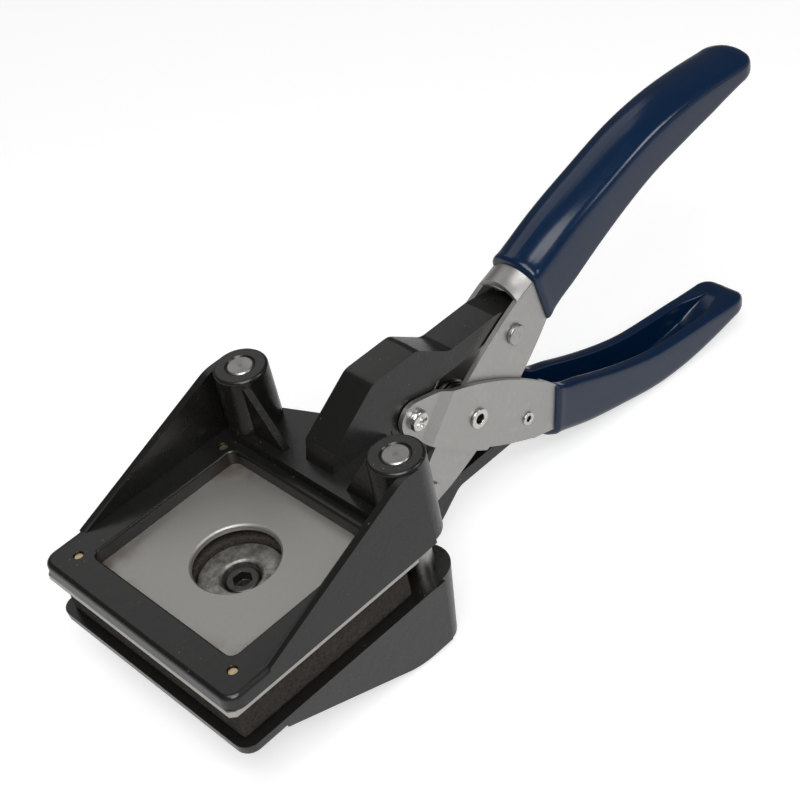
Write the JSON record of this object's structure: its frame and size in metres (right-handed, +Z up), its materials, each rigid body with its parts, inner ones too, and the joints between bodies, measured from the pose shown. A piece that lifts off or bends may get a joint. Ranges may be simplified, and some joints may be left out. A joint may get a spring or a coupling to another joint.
{
  "type": "hand-held card die cutter, pliers type",
  "caption": "Plier-handled die cutter that punches a round disc from a plastic card between two guided jaws.",
  "frame": {"origin": "bottom centre of the bounding box, with the two jaws level and the handles open", "axes": "+X from the die back to the handle tips, +Y to the user's left when looking along +X, +Z up from the lower jaw to the upper jaw"},
  "size_m": [0.2592, 0.0816, 0.1013],
  "materials": {
    "cast_enamel": "black gloss enamel over a casting",
    "tool_steel": "ground hardened steel, slightly tarnished",
    "handle_steel": "plated pressed sheet steel",
    "bright_plate": "bright plated small hardware",
    "zinc_yellow": "yellow passivated screws",
    "black_oxide": "black oxide cap screw",
    "spring_wire": "bright drawn spring wire",
    "grip_vinyl": "dipped navy vinyl",
    "foam": "dark grey-brown cellular foam",
    "bush_plastic": "black moulded plastic"
  },
  "bodies": {
    "lower_jaw": {"lower_casting": "cast_enamel", "punch": "tool_steel", "punch_screw": "black_oxide", "stripper_pad": "foam"},
    "upper_jaw": {"upper_casting": "cast_enamel", "die_plate": "tool_steel", "die_plate_screws": "zinc_yellow", "guide_post_left": "tool_steel", "guide_post_right": "tool_steel"},
    "upper_lever": {"upper_handle": "handle_steel", "upper_grip": "grip_vinyl", "centre_rivet": "bright_plate", "spring_bush": "bush_plastic", "return_spring": "spring_wire", "upper_slot_rivet": "handle_steel", "lower_pivot_rivet": "handle_steel"},
    "lower_lever": {"lower_handle": "handle_steel", "lower_grip": "grip_vinyl", "lower_slot_rivet": "bright_plate", "pivot_screw": "bright_plate", "pivot_nut": "bright_plate"}
  },
  "joints": [
    {"name": "upper_lever_hinge", "type": "hinge", "parent": "lower_jaw", "child": "upper_lever", "pos_m": [-0.03005, 0, 0.03518], "axis": [0, 1, 0], "range_deg": [0, 7.28], "stiffness_Nm_per_rad": 1.5, "springref_deg": -20.05, "deforming": ["return_spring"]},
    {"name": "jaw_slide", "type": "slide", "parent": "lower_jaw", "child": "upper_jaw", "axis": [0, 0, -1], "range_m": [0, 0.0055], "deforming": ["stripper_pad"]},
    {"name": "lower_lever_hinge", "type": "hinge", "parent": "upper_jaw", "child": "lower_lever", "pos_m": [-0.03005, 0, 0.06318], "axis": [0, -1, 0], "range_deg": [0, 7.28]}
  ],
  "couplings": [
    {"joint": "jaw_slide", "follows": "upper_lever_hinge", "m_per_rad": 0.043263},
    {"joint": "lower_lever_hinge", "follows": "upper_lever_hinge", "ratio": 1}
  ]
}
